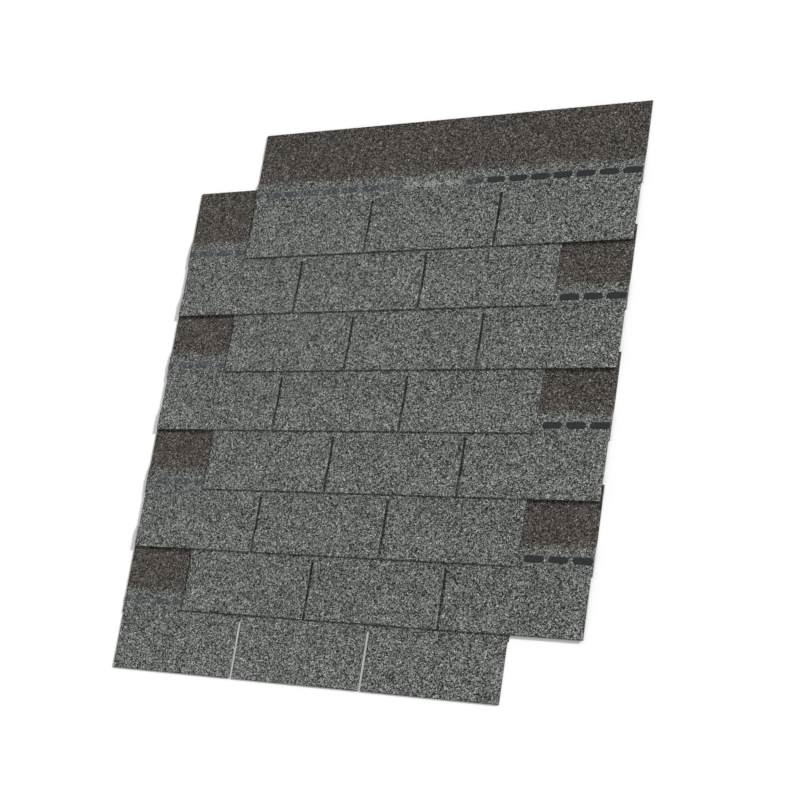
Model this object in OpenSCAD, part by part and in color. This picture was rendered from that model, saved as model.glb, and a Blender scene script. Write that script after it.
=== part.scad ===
// A laid sample of three-tab asphalt shingles, lying face up on a level floor.
// Each strip is one sheet of granule-surfaced asphalt, cut into tabs along its lower half.
// The strips overlap in courses, every second one moved along by half a tab.
// X runs along the courses, Y from the lowest butt edge to the highest head edge, Z is up.
// The origin is under the middle of the whole sample, on the floor.

/* [Strip] */
// Length of one strip, along its course
strip_l = 1000; // [850:1:1250]
// Height of one strip, from its butt edge to its head edge
strip_h = 317; // [260:0.5:420]
// Thickness of one strip, its granules counted
strip_t = 2.8; // [2:0.1:5]

/* [Cutouts] */
// Number of tabs on one strip
tabs = 3; // [2:1:5]
// Width of the cutout between two tabs
cutout_w = 6; // [4:0.5:14]
// Depth of a cutout, from the butt edge to its round end
cutout_depth = 127.5; // [95:0.5:170]

/* [Laying] */
// Number of courses
courses = 8; // [2:1:12]
// Exposure: how far each butt edge lies above the one below it
exposure = 140.4; // [120:0.2:190]
// Length over which a strip bends down past the head edge of the strip under it
bend_l = 25; // [15:1:40]

/* [Sealant] */
// Distance from the middle of one sealant dot to the middle of the next
dot_pitch = 54.4; // [47:0.1:120]
// Distance from the middle of the last dot to the right end of its strip
dot_inset = 23.6; // [0:0.1:60]
// Length of one dot
dot_l = 45; // [20:1:46]
// Width of one dot
dot_w = 14.5; // [10:0.5:18]
// Radius of a dot's corners
dot_r = 4; // [1:0.5:4.5]
// Height of one dot above the granules
dot_h = 0.6; // [0.3:0.1:1.2]
// Height of the line of dots above the butt edge
dot_line = 158.4; // [150:0.1:200]
// Gap between a dot and the end of the strip that covers the rest of it
dot_gap = 0.5; // [0.2:0.1:3]

/* [Hidden] */
bend_steps = 8; // straight facets in one bend
cut_through = 1; // how far a cutting solid runs past the faces that it cuts
least_dot = 1; // a shorter stretch of a cut dot than this is left out
$fn = 48;

tab_w = strip_l / tabs;
stagger = tab_w / 2;
sample_l = strip_l + stagger;
sample_h = strip_h + (courses - 1) * exposure;
// Dots on one strip, counted from its right end, with the one that its left end cuts
dots = ceil((strip_l - dot_inset + dot_l / 2) / dot_pitch);
// Strips that a strip can lie on at once, each a course lower than the one before
laps = ceil((strip_h + bend_l) / exposure) - 1;
// A height that clears the highest strip and the dots on it
over_all = (laps + 1) * strip_t + dot_h + cut_through;

granule_grey = [0.40, 0.41, 0.40];
sealant_black = [0.16, 0.16, 0.17];

STRIPS = [for (n = [1:courses]) str("shingle_strip_", n)];

// Place of strip n's lower left corner, in the sample's frame
function strip_x(n) = (n % 2 == 0 ? stagger : 0) - sample_l / 2;
function strip_y(n) = (n - 1) * exposure - sample_h / 2;

// Height above the butt edge at which strip n leaves the head of the strip k courses lower
function lap_edge(k) = strip_h - k * exposure;

// An S-shaped bend, falling from 1 to 0 as s goes from 0 to 1
function bend_curve(s) = 1 - s * s * (3 - 2 * s);

// Share of a strip's thickness by which it is still lifted, d past a head edge, along the bend's facets
function lifted(d) =
    let (s = bend_steps * min(1, max(0, d / bend_l)))
    let (i = min(bend_steps - 1, floor(s)))
    let (from = bend_curve(i / bend_steps), to = bend_curve((i + 1) / bend_steps))
    from + (to - from) * (s - i);

// Number of strips under strip n
function strips_under(n) = min(n - 1, laps);

// Height of strip n's underside, u above its butt edge
function underside(n, u, k = 1) =
    k > strips_under(n) ? 0 : strip_t * lifted(u - lap_edge(k)) + underside(n, u, k + 1);

// The heights at which strip n's section turns, from its butt edge to its head edge
function turns(n) = concat(
    [0],
    [
        for (k = [strips_under(n):-1:1], i = [0:bend_steps])
            let (u = lap_edge(k) + bend_l * i / bend_steps)
            if (u > 0 && u < strip_h) u
    ],
    [strip_h]
);

// A layer that follows strip n's bends, between two heights above its underside and two places along it
module draped_layer(n, low, high, from = 0, to = strip_l) {
    ups = turns(n);
    under = [for (u = ups) [u, underside(n, u) + low]];
    over = [for (i = [len(ups) - 1:-1:0]) [ups[i], underside(n, ups[i]) + high]];
    translate([from, 0, 0])
        rotate([90, 0, 90])
            linear_extrude(to - from)
                polygon(concat(under, over));
}

// A cutout with a round end, open at the butt edge. The one at each end of a strip is halved by it.
module cutout() {
    round_r = cutout_w / 2;
    straight_l = cutout_depth - round_r;
    translate([-round_r, -cut_through, -cut_through])
        cube([cutout_w, straight_l + cut_through, over_all + cut_through]);
    translate([0, straight_l, -cut_through])
        cylinder(r = round_r, h = over_all + cut_through);
}

// Strip n, in its place
module shingle_strip(n) {
    color(granule_grey)
        translate([strip_x(n), strip_y(n), 0])
            difference() {
                draped_layer(n, 0, strip_t);
                for (i = [0:tabs])
                    translate([i * tab_w, 0, 0])
                        cutout();
            }
}

// The upright column that one dot is cut from, with rounded corners, its middle at [x, dot_line]
module dot_column(x) {
    translate([x, dot_line, 0]) {
        translate([-dot_l / 2 + dot_r, -dot_w / 2, 0])
            cube([dot_l - 2 * dot_r, dot_w, over_all]);
        translate([-dot_l / 2, -dot_w / 2 + dot_r, 0])
            cube([dot_l, dot_w - 2 * dot_r, over_all]);
        for (side = [-1, 1], end = [-1, 1])
            translate([end * (dot_l / 2 - dot_r), side * (dot_w / 2 - dot_r), 0])
                cylinder(r = dot_r, h = over_all);
    }
}

// How much further right than strip n the next strip up begins
function next_start(n) = strip_x(n + 1) - strip_x(n);

// The stretch of strip n's line of dots that the next strip up leaves bare
function bare_from(n) = n == courses || next_start(n) > 0 ? 0 : next_start(n) + strip_l + dot_gap;
function bare_to(n) = n == courses || next_start(n) < 0 ? strip_l : next_start(n) - dot_gap;

// The dots that no other strip covers, and the bare ends of those that one covers in part
module sealant_dots() {
    color(sealant_black)
        for (n = [1:courses], i = [0:dots - 1]) {
            x = strip_l - dot_inset - i * dot_pitch;
            if (min(x + dot_l / 2, bare_to(n)) - max(x - dot_l / 2, bare_from(n)) > least_dot)
                translate([strip_x(n), strip_y(n), 0])
                    intersection() {
                        draped_layer(n, strip_t, strip_t + dot_h, bare_from(n), bare_to(n));
                        dot_column(x);
                    }
        }
}

for (n = [1:courses])
    shingle_strip(n);
sealant_dots();
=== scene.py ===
"""Looks of a laid sample of three-tab asphalt shingles: granule-surfaced strips with ragged cut edges and
worn sealant dots, lying on a pale studio floor. Lengths are in metres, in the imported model's own frame."""

import math

import bmesh
import bpy
import numpy as np
from mathutils import Matrix, Vector


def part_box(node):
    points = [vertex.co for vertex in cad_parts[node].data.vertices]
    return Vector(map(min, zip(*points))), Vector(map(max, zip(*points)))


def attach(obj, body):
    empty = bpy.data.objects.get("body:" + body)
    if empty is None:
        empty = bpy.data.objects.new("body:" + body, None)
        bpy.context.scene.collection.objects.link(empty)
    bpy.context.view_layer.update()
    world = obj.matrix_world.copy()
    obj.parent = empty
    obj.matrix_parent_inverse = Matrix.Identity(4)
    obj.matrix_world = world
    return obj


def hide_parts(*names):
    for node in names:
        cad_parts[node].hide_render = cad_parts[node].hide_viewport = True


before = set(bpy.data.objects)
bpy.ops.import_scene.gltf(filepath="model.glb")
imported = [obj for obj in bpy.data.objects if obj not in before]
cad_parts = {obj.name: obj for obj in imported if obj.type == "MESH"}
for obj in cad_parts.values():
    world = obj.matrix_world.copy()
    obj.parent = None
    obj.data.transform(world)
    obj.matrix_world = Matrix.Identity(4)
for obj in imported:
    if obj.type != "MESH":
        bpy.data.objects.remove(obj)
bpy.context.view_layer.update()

MM = 0.001
SEED = 20

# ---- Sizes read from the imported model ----
STRIPS = [f"shingle_strip_{n + 1}" for n in range(sum("strip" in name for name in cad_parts))]
DOTS_NODE = "sealant_dots"


def low_corner(node):
    return np.array(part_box(node)[0])


def high_corner(node):
    return np.array(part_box(node)[1])


STRIP_L, STRIP_H, STRIP_T = high_corner(STRIPS[0]) - low_corner(STRIPS[0])
EXPOSURE = low_corner(STRIPS[1])[1] - low_corner(STRIPS[0])[1]

# ---- Sizes that a box can't give, the same as in the part's source ----
TABS = 3
CUT_W = 6 * MM
CUT_DEPTH = 127.5 * MM
BEND_L = 25 * MM
BEND_STEPS = 8
DOT_PITCH = 54.4 * MM
DOT_INSET = 23.6 * MM
DOT_L = 45 * MM
DOT_W = 14.5 * MM
DOT_H = 0.6 * MM
DOT_LINE = 158.4 * MM
DOT_GAP = 0.5 * MM
LEAST_DOT = 1 * MM

TAB_W = STRIP_L / TABS
CUT_R = CUT_W / 2
CUT_STRAIGHT = CUT_DEPTH - CUT_R
LAPS = math.ceil((STRIP_H + BEND_L) / EXPOSURE) - 1

# ---- How finely the strips are modelled ----
GRID = 2.08 * MM  # spacing of the points that carry the granule relief
ARC_STEPS = 8  # straight pieces in a cutout's round end
EASE = 16 * MM  # stretch above a round end over which the rows straighten out
UNDER_LAP = 8 * MM  # how far the fine surface runs in under the strip above
SPARSE = 8  # on hidden faces, one row or column in this many is kept
BEND_SPARSE = 2  # the same, where the strip bends
JITTER = 0.34  # how far a point strays from its place in the grid, as a share of the grid
RELIEF = 0.55 * MM  # from the deepest gap between granules to the highest granule
GRANULE_LAYER = 1.0 * MM  # depth of the granules and their bed on a cut edge
EDGE_RAGGED = 0.45 * MM  # how far missing granules eat into a cut edge


# ---- Shape of a strip ----
def lifted(past):
    """Share of a strip's thickness by which it is still lifted, past a head edge under it."""
    s = np.linspace(0, 1, BEND_STEPS + 1)
    return np.interp(past / BEND_L, s, 1 - s * s * (3 - 2 * s))


def lap_edges(n):
    """Heights above the butt edge at which strip n leaves the strips under it, n counted from 0."""
    return [STRIP_H - k * EXPOSURE for k in range(1, min(n, LAPS) + 1)]


def underside(n, up):
    """Height of strip n's underside above the floor, up above its butt edge."""
    return STRIP_T * sum((lifted(up - edge) for edge in lap_edges(n)), np.zeros_like(up))


def spread(start, stop, step=GRID):
    """Evenly spaced values from start to stop, both included, about step apart."""
    return np.linspace(start, stop, max(1, round((stop - start) / step)) + 1)


def column_places():
    """The grid's places along a strip: even between the cutouts, and as a circle needs across each."""
    arc = CUT_R * np.cos(np.linspace(math.pi, 0, ARC_STEPS + 1))
    places = []
    for i in range(TABS + 1):
        across = i * TAB_W + arc
        places.append(across[(across > -CUT_R / 9) & (across < STRIP_L + CUT_R / 9)])
        if i < TABS:
            places.append(spread(i * TAB_W + CUT_R, (i + 1) * TAB_W - CUT_R)[1:-1])
    return np.clip(np.concatenate(places), 0, STRIP_L)


def row_places():
    """The grid's places up a strip, with a row at each height where something begins."""
    stops = [0, CUT_STRAIGHT, CUT_STRAIGHT + EASE, EXPOSURE + UNDER_LAP, STRIP_H]
    pieces = [spread(a, b)[1:] for a, b in zip(stops, stops[1:])]
    return np.concatenate([[0.0], *pieces]), [sum(map(len, pieces[:k])) for k in range(len(stops))]


COLUMNS = column_places()
ROWS, (_, ROW_CUT, ROW_EASE, ROW_FINE, ROW_HEAD) = row_places()
LAST = len(COLUMNS) - 1
FROM_CUT = np.abs(COLUMNS[:, None] - TAB_W * np.arange(TABS + 1)).min(1)
IN_CUT = FROM_CUT < CUT_R * 1.001
CELL_IN_CUT = IN_CUT[:-1] & IN_CUT[1:] & (np.diff(COLUMNS) < CUT_R)


def grid_heights():
    """Each grid point's height above the butt edge: rows rise over the cutouts' round ends."""
    rise = np.sqrt(np.maximum(0, CUT_R**2 - FROM_CUT**2)) * IN_CUT
    eased = np.clip(1 - (ROWS - CUT_STRAIGHT) / EASE, 0, 1)
    return ROWS[None, :] + rise[:, None] * eased[None, :]


def sparse_rows(n):
    """Rows kept on strip n's hidden faces, closer together where it bends."""
    bends = np.zeros(len(ROWS), bool)
    for edge in lap_edges(n):
        bends |= (ROWS > edge - GRID) & (ROWS < edge + BEND_L + GRID)
    keep = np.where(bends, np.arange(len(ROWS)) % BEND_SPARSE == 0, np.arange(len(ROWS)) % SPARSE == 0)
    keep[[0, ROW_CUT, ROW_EASE, ROW_FINE, ROW_HEAD]] = True
    return keep


def sparse_columns():
    """Columns kept on the underside: every one across a cutout, and one in SPARSE elsewhere."""
    return IN_CUT | (np.arange(len(COLUMNS)) % SPARSE == 0)


def bare_columns(n):
    """Columns of strip n whose head the next strip leaves bare, or covers by less than UNDER_LAP."""
    if n == len(STRIPS) - 1:
        return np.ones(len(COLUMNS), bool)
    start = low_corner(STRIPS[n + 1])[0] - low_corner(STRIPS[n])[0]
    return (COLUMNS < start + UNDER_LAP) | (COLUMNS > start + STRIP_L - UNDER_LAP)


def outline():
    """The strip's outline as grid points (column, row), anticlockwise seen from above."""
    edges = np.flatnonzero(IN_CUT & (np.abs(FROM_CUT - CUT_R) < CUT_R * 0.01))
    path = []
    for left, right in zip(edges[::2], edges[1::2]):
        path += [(left, j) for j in range(ROW_CUT, 0, -1)]
        path += [(i, 0) for i in range(left, right)]
        path += [(right, j) for j in range(0, ROW_CUT)]
        after = edges[edges > right]
        path += [(i, ROW_CUT) for i in range(right, after[0] if len(after) else LAST)]
    path += [(LAST, j) for j in range(ROW_CUT, ROW_HEAD)]
    path += [(i, ROW_HEAD) for i in range(LAST, 0, -1)]
    path += [(0, j) for j in range(ROW_HEAD, ROW_CUT, -1)]
    path += [(i, ROW_CUT) for i in range(0, edges[0])]
    return np.array(path)


# ---- Mesh building ----
class Faces:
    """Quads and triangles gathered block by block, with a material slot for each."""

    def __init__(self):
        self.corners, self.sizes, self.slots = [], [], []

    def add(self, faces, slot):
        faces = np.asarray(faces, np.int64)
        if len(faces):
            self.corners.append(faces.ravel())
            self.sizes.append(np.full(len(faces), faces.shape[1]))
            self.slots.append(np.full(len(faces), slot))


def lattice(ids, columns, rows, hole):
    """Quads over the kept columns and rows of a grid of point numbers, without the cells that hole marks."""
    c, r = np.flatnonzero(columns), np.flatnonzero(rows)
    a, b = ids[np.ix_(c[:-1], r[:-1])], ids[np.ix_(c[1:], r[:-1])]
    d, e = ids[np.ix_(c[1:], r[1:])], ids[np.ix_(c[:-1], r[1:])]
    solid = ~hole(c[:-1], r[:-1])
    return np.stack([a[solid], b[solid], d[solid], e[solid]], 1)


def cut_cells(columns, rows):
    """Marks the grid cells, named by their lower left points, that lie in a cutout."""
    return CELL_IN_CUT[columns][:, None] & (rows < ROW_CUT)[None, :]


def new_object(name, points, faces, materials):
    """A mesh object of these points and faces."""
    mesh = bpy.data.meshes.new(name)
    corners, sizes = np.concatenate(faces.corners), np.concatenate(faces.sizes)
    used, corners = np.unique(corners, return_inverse=True)
    mesh.vertices.add(len(used))
    mesh.vertices.foreach_set("co", points[used].astype(np.float32).ravel())
    mesh.loops.add(len(corners))
    mesh.loops.foreach_set("vertex_index", corners.ravel().astype(np.int32))
    mesh.polygons.add(len(sizes))
    mesh.polygons.foreach_set("loop_start", np.concatenate([[0], np.cumsum(sizes)[:-1]]).astype(np.int32))
    mesh.update(calc_edges=True)
    for material in materials:
        mesh.materials.append(material)
    mesh.polygons.foreach_set("material_index", np.concatenate(faces.slots).astype(np.int32))
    mesh.update()
    piece = bpy.data.objects.new(name, mesh)
    bpy.context.scene.collection.objects.link(piece)
    return piece, used


def point_values(mesh, name, values):
    """Stores one number for each of the mesh's points."""
    layer = mesh.attributes.new(name, "FLOAT", "POINT")
    layer.data.foreach_set("value", np.asarray(values, np.float32))


TOP, EDGE, UNDER = 0, 1, 2  # a strip's material slots


def strip_surface(n, rng):
    """Places and grit of strip n's top grid, in its own frame: relief never rises above the CAD surface."""
    up = grid_heights()
    along = np.repeat(COLUMNS[:, None], len(ROWS), 1)
    grit = rng.random(up.shape) ** 0.8
    fine = (np.arange(len(ROWS))[None, :] < ROW_FINE) | bare_columns(n)[:, None]
    inner = fine & ~IN_CUT[:, None]
    inner[[0, -1]] = inner[:, [0, -1]] = False
    stray = JITTER * GRID * inner
    along = along + stray * rng.uniform(-1, 1, up.shape)
    up = up + stray * rng.uniform(-1, 1, up.shape)
    depth = np.where(fine, RELIEF * (1 - grit), RELIEF)
    return along, up, underside(n, up) + STRIP_T - depth, grit


def strip_points(n, rng):
    """All points that strip n may use: its top grid, its underside grid, and the ring below the granules."""
    along, up, height, grit = strip_surface(n, rng)
    path = outline()
    i, j = path[:, 0], path[:, 1]
    rim = np.stack([COLUMNS[i], grid_heights()[i, j]], 1)
    ahead = np.roll(rim, -1, 0) - np.roll(rim, 1, 0)
    inward = np.stack([-ahead[:, 1], ahead[:, 0]], 1) / np.linalg.norm(ahead, axis=1)[:, None]

    top_rim = rim + inward * (EDGE_RAGGED * rng.random(len(rim)) ** 2)[:, None]
    along[i, j], up[i, j] = top_rim.T
    height[i, j] = underside(n, rim[:, 1]) + STRIP_T - RELIEF * (0.4 + 0.6 * rng.random(len(rim)))
    top = np.stack([along, up, height], 2).reshape(-1, 3)

    mid_rim = rim + inward * (EDGE_RAGGED * (0.2 + 0.5 * rng.random(len(rim))))[:, None]
    mid_height = underside(n, rim[:, 1]) + STRIP_T - GRANULE_LAYER
    ring = np.column_stack([mid_rim, mid_height])

    flat_up = grid_heights()
    flat_along = np.repeat(COLUMNS[:, None], len(ROWS), 1)
    flat = np.stack([flat_along, flat_up, underside(n, flat_up)], 2).reshape(-1, 3)
    return np.concatenate([top, flat, ring]), grit.ravel(), path


def lap_joint(ids, column, beyond, rows, left_bare):
    """Triangles that join a fine column's points to the sparse rows of the column beyond it."""
    found = []
    kept = np.flatnonzero(rows & (np.arange(len(ROWS)) >= ROW_FINE))
    for low, high in zip(kept[:-1], kept[1:]):
        hub = ids[beyond, low]
        found += [(hub, ids[column, r + 1], ids[column, r]) for r in range(low, high)]
        found.append((hub, ids[beyond, high], ids[column, high]))
    found = np.array(found)
    return found if left_bare else found[:, ::-1]


def top_faces(faces, ids, n, rows):
    """Adds strip n's granule face: fine where it shows, sparse rows where the next strip covers it."""
    bare, numbers = bare_columns(n), np.arange(len(ROWS))
    every = np.ones(len(COLUMNS), bool)
    faces.add(lattice(ids, every, numbers <= ROW_FINE, cut_cells), TOP)
    faces.add(lattice(ids, bare, numbers >= ROW_FINE, cut_cells), TOP)
    if bare.all():
        return
    covered = ~bare
    faces.add(lattice(ids, covered, rows & (numbers >= ROW_FINE), cut_cells), TOP)
    first, last = np.flatnonzero(covered)[[0, -1]]
    if first > 0:
        faces.add(lap_joint(ids, first - 1, first, rows, True), TOP)
    if last < LAST:
        faces.add(lap_joint(ids, last + 1, last, rows, False), TOP)


def edge_faces(faces, ids_top, ids_flat, ids_ring, path, n, rows, columns):
    """Adds the cut edge all round: granules down to the ring, then asphalt down to the sparser underside."""
    i, j = path[:, 0], path[:, 1]
    shown = bare_columns(n)[i] | (j <= ROW_FINE) | rows[j]
    below = rows[j] & columns[i]
    keep = np.flatnonzero(shown)
    after = np.roll(keep, -1)
    tops = ids_top[i, j]
    faces.add(np.stack([tops[keep], ids_ring[keep], ids_ring[after], tops[after]], 1), EDGE)
    fans = []
    stops = np.flatnonzero(below)
    for start, stop in zip(stops, np.roll(stops, -1)):
        run = [k % len(path) for k in range(start, stop + (len(path) if stop <= start else 0) + 1)]
        run = [k for k in run if shown[k]]
        hub = ids_flat[i[start], j[start]]
        fans.append((hub, ids_flat[i[stop], j[stop]], ids_ring[run[-1]]))
        fans += [(hub, ids_ring[b], ids_ring[a]) for a, b in zip(run[:-1], run[1:])]
    faces.add(fans, EDGE)


def bake_places(piece, path_length):
    """Gives the strip a map with no overlaps: granule face, underside and cut edge, one above the other."""
    mesh = piece.data
    count = len(mesh.loops)
    vertex = np.empty(count, np.int32)
    mesh.loops.foreach_get("vertex_index", vertex)
    slot = np.empty(len(mesh.polygons), np.int32)
    mesh.polygons.foreach_get("material_index", slot)
    sizes = np.empty(len(mesh.polygons), np.int32)
    mesh.polygons.foreach_get("loop_total", sizes)
    slot = np.repeat(slot, sizes)
    along, up, run, drop = (np.empty(len(mesh.vertices), np.float32) for _ in range(4))
    for name, values in (("along", along), ("up", up), ("run", run), ("drop", drop)):
        mesh.attributes[name].data.foreach_get("value", values)
    across = np.stack([along / STRIP_L, up / STRIP_H], 1)[vertex]
    faces = {TOP: (0.0, 0.62), UNDER: (0.63, 0.28), EDGE: (0.92, 0.08)}
    rim = np.stack([run / path_length, drop / STRIP_T], 1)[vertex]
    ends = np.cumsum(sizes)
    wraps = np.maximum.reduceat(rim[:, 0], ends - sizes) - np.minimum.reduceat(rim[:, 0], ends - sizes) > 0.5
    rim[:, 0] += np.repeat(wraps, sizes) & (rim[:, 0] < 0.5)
    places = np.where((slot == EDGE)[:, None], rim * [0.999, 1], across)
    base = np.array([faces[s][0] for s in (TOP, EDGE, UNDER)])[slot]
    span = np.array([faces[s][1] for s in (TOP, EDGE, UNDER)])[slot]
    places[:, 1] = base + span * places[:, 1]
    layer = mesh.uv_layers.new(name="OFBake")
    layer.uv.foreach_set("vector", places.astype(np.float32).ravel())


def make_strip(n, materials):
    """Strip n, counted from 0, with granules in relief, ragged cut edges and a flat sanded underside."""
    rng = np.random.default_rng(SEED + n)
    points, grit, path = strip_points(n, rng)
    size = len(COLUMNS) * len(ROWS)
    shape = (len(COLUMNS), len(ROWS))
    ids_top = np.arange(size).reshape(shape)
    ids_flat = ids_top + size
    ids_ring = 2 * size + np.arange(len(path))
    rows, columns = sparse_rows(n), sparse_columns()
    faces = Faces()
    top_faces(faces, ids_top, n, rows)
    faces.add(lattice(ids_flat, columns, rows, cut_cells)[:, ::-1], UNDER)
    edge_faces(faces, ids_top, ids_flat, ids_ring, path, n, rows, columns)

    local = points.copy()
    points[:, :2] += low_corner(STRIPS[n])[:2]
    piece, used = new_object(f"{STRIPS[n]}_granules", points, faces, materials)
    mesh = piece.data
    rim = local[2 * size:, :2]
    steps = np.linalg.norm(np.roll(rim, -1, 0) - rim, axis=1)
    run = np.zeros(len(points))
    run[2 * size:] = np.cumsum(steps) - steps
    run[ids_top[path[:, 0], path[:, 1]]] = run[2 * size:]
    run[ids_flat[path[:, 0], path[:, 1]]] = run[2 * size:]
    drop = underside(n, local[:, 1]) + STRIP_T - local[:, 2]
    deep = np.ones(len(points))
    deep[:size] = grit
    values = {"along": local[:, 0], "up": local[:, 1], "run": run, "drop": drop, "grit": deep}
    values["halo"] = dot_halo(n, local)
    for name, numbers in values.items():
        point_values(mesh, name, numbers[used])
    slots = np.empty(len(mesh.polygons), np.int32)
    mesh.polygons.foreach_get("material_index", slots)
    mesh.polygons.foreach_set("use_smooth", slots != EDGE)
    bake_places(piece, steps.sum() * 1.001)
    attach(piece, "root")
    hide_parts(STRIPS[n])
    return piece


# ---- Materials ----
class Tree:
    """A material's node tree, with short ways to add nodes and links."""

    def __init__(self, name):
        self.material = bpy.data.materials.new(name)
        self.material.use_nodes = True
        self.nodes = self.material.node_tree.nodes
        self.links = self.material.node_tree.links
        self.shader = self.nodes["Principled BSDF"]

    def add(self, kind, inputs=None, **settings):
        node = self.nodes.new("ShaderNode" + kind)
        for key, value in settings.items():
            setattr(node, key, value)
        for key, value in (inputs or {}).items():
            self.feed(node.inputs[key], value)
        return node

    def feed(self, socket, value):
        if isinstance(value, bpy.types.NodeSocket):
            self.links.new(value, socket)
        else:
            socket.default_value = value

    def value(self, name):
        return self.add("Attribute", attribute_name=name).outputs["Fac"]

    def place(self):
        return self.add("TexCoord").outputs["Object"]

    def maths(self, operation, a, b=0.0, clamp=False):
        node = self.add("Math", operation=operation, use_clamp=clamp)
        self.feed(node.inputs[0], a)
        self.feed(node.inputs[1], b)
        return node.outputs[0]

    def mix(self, share, a, b, blend="MIX"):
        node = self.add("Mix", data_type="RGBA", blend_type=blend)
        self.feed(node.inputs["Factor"], share)
        self.feed(node.inputs["A"], a)
        self.feed(node.inputs["B"], b)
        return node.outputs["Result"]

    def between(self, value, low, high, to_low=0.0, to_high=1.0):
        node = self.add("MapRange")
        ends = {"Value": value, "From Min": low, "From Max": high, "To Min": to_low, "To Max": to_high}
        for key, number in ends.items():
            self.feed(node.inputs[key], number)
        return node.outputs["Result"]

    def noise(self, place, size, detail=2.0):
        return self.add("TexNoise", {"Vector": place, "Scale": 1 / size, "Detail": detail}).outputs["Fac"]

    def cells(self, place, size, feature="F1"):
        return self.add("TexVoronoi", {"Vector": place, "Scale": 1 / size}, feature=feature)

    def ramp(self, value, stops, steps=False):
        node = self.add("ValToRGB", {"Fac": value})
        node.color_ramp.interpolation = "CONSTANT" if steps else "LINEAR"
        elements = node.color_ramp.elements
        while len(elements) < len(stops):
            elements.new(0.5)
        for element, (at, colour) in zip(elements, stops):
            element.position = at
            element.color = (*colour, 1)
        return node.outputs["Color"]


# Share of the granules up to which each colour runs, and the colour
TAB_GRANULES = [
    (0.0, (0.014, 0.016, 0.015)),
    (0.24, (0.060, 0.067, 0.062)),
    (0.42, (0.180, 0.194, 0.180)),
    (0.70, (0.310, 0.328, 0.303)),
    (0.93, (0.520, 0.535, 0.500)),
]
HEAD_GRANULES = [
    (0.0, (0.014, 0.012, 0.011)),
    (0.24, (0.044, 0.036, 0.031)),
    (0.48, (0.108, 0.094, 0.083)),
    (0.80, (0.190, 0.172, 0.155)),
    (0.96, (0.330, 0.310, 0.285)),
]
ASPHALT = (0.012, 0.012, 0.012, 1)
# Share of the strip's height, and how light its face is there
FACE_TONES = [(0.0, 0.995), (0.505, 0.90), (0.552, 0.90), (0.63, 0.99), (0.90, 0.945), (1.0, 0.84)]
HALO_GREY = (0.34, 0.35, 0.33, 1)
HALO_SHARE = 0.15  # how far the granules just round a whole dot turn to that grey
HALO_W = 4 * MM


def granule_material():
    """Ceramic-coated granules in asphalt: grey-green up to past the dots, brown-black on the head."""
    t = Tree("granule_face")
    place, up = t.place(), t.value("up")
    warp = t.add("TexNoise", {"Vector": place, "Scale": 1 / (2.2 * MM), "Detail": 1.0}).outputs["Color"]
    bent = t.add("VectorMath", {0: warp, 1: (0.0012, 0.0012, 0.0012)}, operation="MULTIPLY").outputs[0]
    bent = t.add("VectorMath", {0: place, 1: bent}, operation="ADD").outputs[0]
    grain = t.cells(bent, 2.1 * MM)
    chance = t.add("SeparateColor", {"Color": grain.outputs["Color"]})
    border = t.cells(bent, 2.1 * MM, "DISTANCE_TO_EDGE").outputs["Distance"]

    tabs = t.ramp(chance.outputs["Red"], TAB_GRANULES, True)
    head = t.ramp(chance.outputs["Red"], HEAD_GRANULES, True)
    edge = t.maths("ADD", up, t.maths("MULTIPLY", t.maths("SUBTRACT", t.noise(place, 30 * MM), 0.5), 0.012))
    zone = t.between(edge, 0.175, 0.193)
    is_head = t.maths("LESS_THAN", chance.outputs["Green"], zone)
    colour = t.mix(is_head, tabs, head)

    # Darker where granules meet: the black asphalt between them, and painted shade in the cracks.
    crack_shade_and_asphalt = t.between(border, 0.03, 0.16, 0.45, 1.0)
    # Darker where the mesh relief is low: painted shade in its hollows.
    deep = t.between(t.value("grit"), 0.0, 0.6, 0.6, 1.0)
    clumps = t.between(t.cells(place, 4.6 * MM).outputs["Color"], 0, 1, 0.66, 1.34)
    blotch = t.between(t.noise(place, 55 * MM, 3.0), 0.3, 0.7, 0.93, 1.07)
    # Painted shade of the cracks and hollows, times random mottle from the clumps and blotches.
    shade_and_mottle = t.maths("MULTIPLY", t.maths("MULTIPLY", crack_shade_and_asphalt, deep), t.maths("MULTIPLY", clumps, blotch))
    tone = t.ramp(t.maths("DIVIDE", up, float(STRIP_H)), [(at, (light,) * 3) for at, light in FACE_TONES])
    colour = t.mix(1.0, colour, t.maths("MULTIPLY", shade_and_mottle, tone), "MULTIPLY")
    colour = t.mix(t.maths("MULTIPLY", t.value("halo"), HALO_SHARE), colour, HALO_GREY)
    t.feed(t.shader.inputs["Base Color"], colour)

    rough = t.between(chance.outputs["Blue"], 0.0, 1.0, 0.62, 0.95)
    t.feed(t.shader.inputs["Roughness"], rough)
    t.feed(t.shader.inputs["Specular IOR Level"], 0.2)
    height = t.between(border, 0.0, 0.35, 0.0, 1.0)
    bump = t.add("Bump", {"Height": height, "Distance": 0.5 * MM, "Strength": 0.7})
    t.feed(t.shader.inputs["Normal"], bump.outputs["Normal"])
    return t.material


def edge_material():
    """The cut edge: black asphalt, greyer where granules and mat fibres show."""
    t = Tree("cut_edge")
    place = t.place()
    crumbs = t.cells(place, 1.1 * MM)
    chance = t.add("SeparateColor", {"Color": crumbs.outputs["Color"]}).outputs["Red"]
    near_top = t.between(t.value("drop"), 0.6 * MM, 1.2 * MM, 0.7, 0.12)
    share = t.maths("LESS_THAN", chance, near_top)
    grey = t.mix(t.noise(place, 4 * MM), (0.03, 0.03, 0.028, 1), (0.16, 0.165, 0.155, 1))
    t.feed(t.shader.inputs["Base Color"], t.mix(share, ASPHALT, grey))
    t.feed(t.shader.inputs["Roughness"], t.between(t.noise(place, 3 * MM), 0.3, 0.7, 0.55, 0.85))
    bump = t.add("Bump", {"Height": crumbs.outputs["Distance"], "Distance": 0.4 * MM, "Strength": 0.5})
    t.feed(t.shader.inputs["Normal"], bump.outputs["Normal"])
    return t.material


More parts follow.
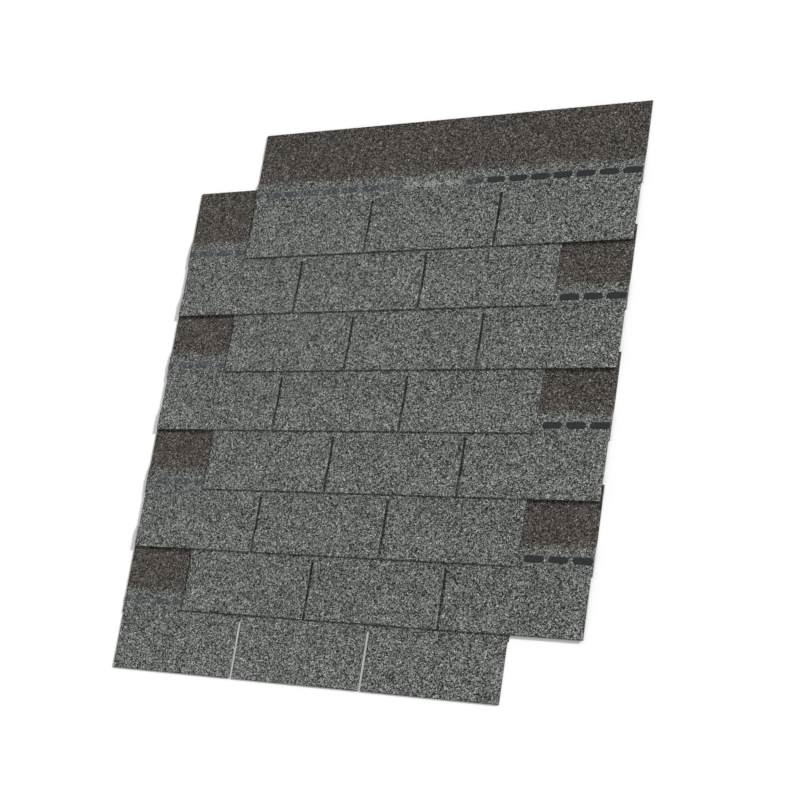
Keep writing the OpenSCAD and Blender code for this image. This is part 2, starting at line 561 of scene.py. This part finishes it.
def underside_material():
    """The underside: asphalt dusted with fine sand."""
    t = Tree("sanded_underside")
    place = t.place()
    sand = t.cells(place, 0.8 * MM)
    chance = t.add("SeparateColor", {"Color": sand.outputs["Color"]}).outputs["Red"]
    dust = t.between(t.noise(place, 40 * MM, 4.0), 0.35, 0.65, 0.25, 0.6)
    share = t.maths("LESS_THAN", chance, dust)
    t.feed(t.shader.inputs["Base Color"], t.mix(share, (0.02, 0.02, 0.02, 1), (0.13, 0.125, 0.115, 1)))
    t.feed(t.shader.inputs["Roughness"], t.between(t.noise(place, 12 * MM), 0.3, 0.7, 0.7, 0.95))
    bump = t.add("Bump", {"Height": sand.outputs["Distance"], "Distance": 0.2 * MM, "Strength": 0.4})
    t.feed(t.shader.inputs["Normal"], bump.outputs["Normal"])
    return t.material


# How worn a dot is, and the share of it where granules show through
BARE_BY_WEAR = [(0.0, 0.0), (0.2, 0.0), (0.5, 0.12), (0.85, 0.85), (1.0, 0.5)]


def sealant_material():
    """Self-seal asphalt: black where it is whole, bluish grey where faded, a pale film where rubbed off."""
    t = Tree("sealant")
    place, wear = t.place(), t.value("wear")
    grain = t.cells(place, 2.6 * MM)
    chance = t.add("SeparateColor", {"Color": grain.outputs["Color"]}).outputs["Red"]
    fresh = t.mix(t.noise(place, 6 * MM), (0.015, 0.016, 0.017, 1), (0.027, 0.028, 0.030, 1))
    faded = t.mix(t.noise(place, 5 * MM, 3.0), (0.035, 0.038, 0.046, 1), (0.075, 0.080, 0.090, 1))
    film = t.mix(t.noise(place, 8 * MM), (0.12, 0.12, 0.10, 1), (0.36, 0.36, 0.29, 1))
    colour = t.mix(t.between(wear, 0.1, 0.5), fresh, faded)
    colour = t.mix(t.between(wear, 0.7, 0.95), colour, film)
    bare = t.ramp(wear, [(at, (share,) * 3) for at, share in BARE_BY_WEAR])
    near_rim = t.between(t.value("rim"), 0.0, 1.5 * MM, 1.0, 0.0)
    bare = t.maths("ADD", bare, t.maths("MULTIPLY", near_rim, t.between(wear, 0.0, 0.5, 0.05, 0.3)))
    poking = t.maths("LESS_THAN", chance, bare)
    spread_out = t.maths("DIVIDE", chance, bare, clamp=True)
    colour = t.mix(poking, colour, t.ramp(spread_out, TAB_GRANULES, True))
    t.feed(t.shader.inputs["Base Color"], colour)
    t.feed(t.shader.inputs["Roughness"], t.between(wear, 0.0, 0.5, 0.55, 0.85))
    t.feed(t.shader.inputs["Specular IOR Level"], 0.2)
    bump = t.add("Bump", {"Height": t.noise(place, 2.5 * MM, 3.0), "Distance": 0.8 * MM, "Strength": 0.8})
    t.feed(t.shader.inputs["Normal"], bump.outputs["Normal"])
    return t.material


# ---- Sealant dots ----
DOT_COLUMNS = 30
DOT_ROWS = 12
DOT_SINK = 0.5 * MM  # how far a dot flows down between the granules
DOT_RIM = 2.2 * MM  # stretch over which a dot rounds down to its edge
DOT_EDGE_LIFT = 0.35  # height of a dot's edge, as a share of its full height
DOT_UNEVEN = 0.04  # how far a dot's edge wanders in or out, as a share of its half length or width
DOT_LOWEST = 0.7  # lowest point of a dot's lumpy top, as a share of its height there
WORN_THINNER = 0.5  # share of its height that a fully worn dot has lost
WORN_SUNK = 0.6  # how far a fully worn dot has sunk, as a share of DOT_SINK
WEAR_SPREAD = 0.06  # how much wear varies from point to point of one dot
# How worn the top strip's dots are, by place along it: faded, then rubbed off to a pale film, then whole
WEAR_PLACES = (0.0, 0.33, 0.38, 0.43, 0.487, 0.54, 0.596, 0.65, 0.70)
TOP_WEAR = (0.50, 0.45, 0.62, 0.90, 1.00, 0.90, 0.30, 0.08, 0.0)


def bare_stretch(n):
    """The stretch of strip n's line of dots that the next strip leaves bare."""
    if n == len(STRIPS) - 1:
        return 0, STRIP_L
    start = low_corner(STRIPS[n + 1])[0] - low_corner(STRIPS[n])[0]
    return (0, start - DOT_GAP) if start > 0 else (start + STRIP_L + DOT_GAP, STRIP_L)


def dot_places():
    """(strip, middle, left end, right end) of each dot, or part of one, that no other strip covers."""
    count = math.ceil((STRIP_L - DOT_INSET + DOT_L / 2) / DOT_PITCH)
    found = []
    for n in range(len(STRIPS)):
        start, stop = bare_stretch(n)
        for k in range(count):
            middle = STRIP_L - DOT_INSET - k * DOT_PITCH
            left, right = max(start, middle - DOT_L / 2), min(stop, middle + DOT_L / 2)
            if right - left > LEAST_DOT:
                found.append((n, middle, left, right))
    return found


def dot_wear(n, middle):
    """How worn the dot is, from 0, whole and black, to 1, rubbed off."""
    if n == len(STRIPS) - 1:
        return float(np.interp(middle / STRIP_L, WEAR_PLACES, TOP_WEAR))
    return 0.5 if middle < STRIP_L / 2 else 0.0


def dot_halo(n, points):
    """How near each of strip n's points lies to the middle of the pale rim round a dot, from 0 to 1."""
    halo = np.zeros(len(points))
    for strip, middle, _, _ in dot_places():
        if strip == n:
            beside = np.abs(points[:, 0] - middle) - DOT_L / 2
            above = np.abs(points[:, 1] - DOT_LINE) - DOT_W / 2
            near = 1 - np.abs(np.maximum(beside, above) / HALO_W * 2 - 1)
            halo = np.maximum(halo, np.clip(near, 0, 1) * (1 - dot_wear(n, middle)))
    return halo


def wavy(rng, count, step):
    """Smooth random offsets between -1 and 1, of count points, that turn about every step points."""
    knots = rng.uniform(-1, 1, count // step + 2)
    return np.interp(np.arange(count) / step, np.arange(len(knots)), knots)


def dot_grid(rng):
    """Places of a whole dot's points about its middle, in columns and rows, and their way in from its rim."""
    across, up = np.linspace(-1, 1, DOT_COLUMNS + 1), np.linspace(-1, 1, DOT_ROWS + 1)
    a, b = np.meshgrid(across, up, indexing="ij")
    length = DOT_L / 2 * (1 + DOT_UNEVEN * wavy(rng, DOT_ROWS + 1, 2))
    width = DOT_W / 2 * (1 + DOT_UNEVEN * wavy(rng, DOT_COLUMNS + 1, 2))
    x = a * length[None, :] * np.sqrt(1 - 0.3 * np.abs(b) ** 5)
    y = b * width[:, None] * np.sqrt(1 - 0.5 * np.abs(a) ** 9)
    rim = np.minimum(DOT_L / 2 * (1 - np.abs(a)), DOT_W / 2 * (1 - np.abs(b)))
    return x, y, rim


def cut_pads(mesh, size, cuts):
    """Cuts closed pads of size points each straight across. A cut is (pad, place along X, dropped side)."""
    bm = bmesh.new()
    bm.from_mesh(mesh)
    bm.verts.ensure_lookup_table()
    pads = [bm.verts[pad * size:(pad + 1) * size] for pad, _, _ in cuts]
    for own, (_, place, side) in zip(pads, cuts):
        edges = {edge for point in own for edge in point.link_edges}
        faces = {face for point in own for face in point.link_faces}
        found = bmesh.ops.bisect_plane(
            bm, geom=[*own, *edges, *faces], plane_co=(place, 0, 0), plane_no=(side, 0, 0), clear_outer=True
        )["geom_cut"]
        bmesh.ops.edgeloop_fill(bm, edges=[item for item in found if isinstance(item, bmesh.types.BMEdge)])
    bmesh.ops.recalc_face_normals(bm, faces=bm.faces)
    bm.to_mesh(mesh)
    bm.free()


def make_dots(material):
    """Every dot that shows, as low pads in one piece."""
    rng = np.random.default_rng(SEED + 100)
    ids = np.arange((DOT_COLUMNS + 1) * (DOT_ROWS + 1)).reshape(DOT_COLUMNS + 1, DOT_ROWS + 1)
    edge = np.concatenate([ids[:-1, 0], ids[-1, :-1], ids[:0:-1, -1], ids[0, :0:-1]])
    foot = ids.size + np.arange(len(edge))
    size = ids.size + len(edge)
    points, wears, rims, faces = [], [], [], Faces()
    quads = np.stack([ids[:-1, :-1], ids[1:, :-1], ids[1:, 1:], ids[:-1, 1:]], -1).reshape(-1, 4)
    sides = np.stack([edge, foot, np.roll(foot, -1), np.roll(edge, -1)], 1)
    fan = np.stack([np.full(len(foot) - 2, foot[0]), foot[2:], foot[1:-1]], 1)
    for number, (n, middle, left, right) in enumerate(dot_places()):
        x, y, rim = dot_grid(rng)
        wear = dot_wear(n, middle)
        dome = DOT_EDGE_LIFT + (1 - DOT_EDGE_LIFT) * np.sqrt(np.clip(rim / DOT_RIM, 0, 1))
        lumps = rng.uniform(DOT_LOWEST, 1.0, ids.shape)
        lift = DOT_H * (1 - WORN_THINNER * wear) * dome * lumps - DOT_SINK * WORN_SUNK * wear
        surface = underside(n, DOT_LINE + y) + STRIP_T
        top = np.stack([middle + x, DOT_LINE + y, surface + lift], 2).reshape(-1, 3)
        bottom = np.column_stack([top[edge, :2], surface.ravel()[edge] - DOT_SINK])
        points.append(np.concatenate([top, bottom]) + [*low_corner(STRIPS[n])[:2], 0])
        wears.append(np.clip(wear + rng.normal(0, WEAR_SPREAD, size), 0, 1))
        rims.append(np.concatenate([rim.ravel(), np.zeros(len(edge))]))
        for shapes in (quads, sides, fan):
            faces.add(number * size + shapes, 0)
    piece, used = new_object("sealant_dots_worn", np.concatenate(points), faces, [material])
    point_values(piece.data, "wear", np.concatenate(wears)[used])
    point_values(piece.data, "rim", np.concatenate(rims)[used])
    cuts = []
    for number, (n, middle, left, right) in enumerate(dot_places()):
        if left > middle - DOT_L / 2:
            cuts.append((number, low_corner(STRIPS[n])[0] + left, -1))
        if right < middle + DOT_L / 2:
            cuts.append((number, low_corner(STRIPS[n])[0] + right, 1))
    cut_pads(piece.data, size, cuts)
    piece.data.polygons.foreach_set("use_smooth", np.ones(len(piece.data.polygons), bool))
    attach(piece, "root")
    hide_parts(DOTS_NODE)
    return piece


# ---- Studio ----
CAMERA_LENS = 81.08  # mm, on a 36 mm sensor
CAMERA_AZIMUTH = 64.42  # degrees, from the side of the butt edges towards the right end
CAMERA_ELEVATION = 54.9
CAMERA_ROLL = 59.67
CAMERA_DISTANCE = 3.926
CAMERA_TARGET = Vector((0.0712, -0.0143, 0.0))


def make_camera():
    """The camera, set by where it looks from and how far it is turned about its own axis."""
    azimuth, elevation = math.radians(CAMERA_AZIMUTH), math.radians(CAMERA_ELEVATION)
    back = Vector((
        math.sin(azimuth) * math.cos(elevation),
        -math.cos(azimuth) * math.cos(elevation),
        math.sin(elevation),
    ))
    data = bpy.data.cameras.new("camera")
    data.lens = CAMERA_LENS
    data.clip_end = 50
    camera = bpy.data.objects.new("camera", data)
    level = back.to_track_quat("Z", "Y").to_matrix().to_4x4()
    turn = Matrix.Rotation(-math.radians(CAMERA_ROLL), 4, "Z")
    camera.matrix_world = Matrix.Translation(CAMERA_TARGET + back * CAMERA_DISTANCE) @ level @ turn
    bpy.context.scene.collection.objects.link(camera)
    bpy.context.scene.camera = camera


FLOOR_HALF = 15.0
FLOOR_Z = -0.1 * MM


def make_floor():
    """A plain pale floor just under the strips."""
    mesh = bpy.data.meshes.new("floor")
    half = FLOOR_HALF
    corners = [(-half, -half), (half, -half), (half, half), (-half, half)]
    mesh.from_pydata([(x, y, FLOOR_Z) for x, y in corners], [], [(0, 1, 2, 3)])
    t = Tree("floor")
    t.feed(t.shader.inputs["Base Color"], (0.86, 0.86, 0.86, 1))
    t.feed(t.shader.inputs["Roughness"], 0.9)
    mesh.materials.append(t.material)
    floor = bpy.data.objects.new("floor", mesh)
    bpy.context.scene.collection.objects.link(floor)


SUN_FROM = Vector((0.80, 0.45, 0.37))
SUN_STRENGTH = 4.6
SUN_SOFTNESS = 6.0  # degrees
SKY_STRENGTH = 0.62


def make_light():
    """Soft studio light: an even white surround, and a soft key from beyond the head edge on the right."""
    sun = bpy.data.lights.new("key", "SUN")
    sun.energy = SUN_STRENGTH
    sun.angle = math.radians(SUN_SOFTNESS)
    key = bpy.data.objects.new("key", sun)
    key.matrix_world = SUN_FROM.to_track_quat("Z", "Y").to_matrix().to_4x4()
    bpy.context.scene.collection.objects.link(key)
    world = bpy.data.worlds.new("studio")
    world.use_nodes = True
    surround = world.node_tree.nodes["Background"]
    surround.inputs["Color"].default_value = (1, 1, 1, 1)
    surround.inputs["Strength"].default_value = SKY_STRENGTH
    bpy.context.scene.world = world
    bpy.context.scene.view_settings.view_transform = "Standard"


def main():
    make_camera()
    make_floor()
    make_light()
    materials = [granule_material(), edge_material(), underside_material()]
    for n in range(len(STRIPS)):
        make_strip(n, materials)
    make_dots(sealant_material())


main()
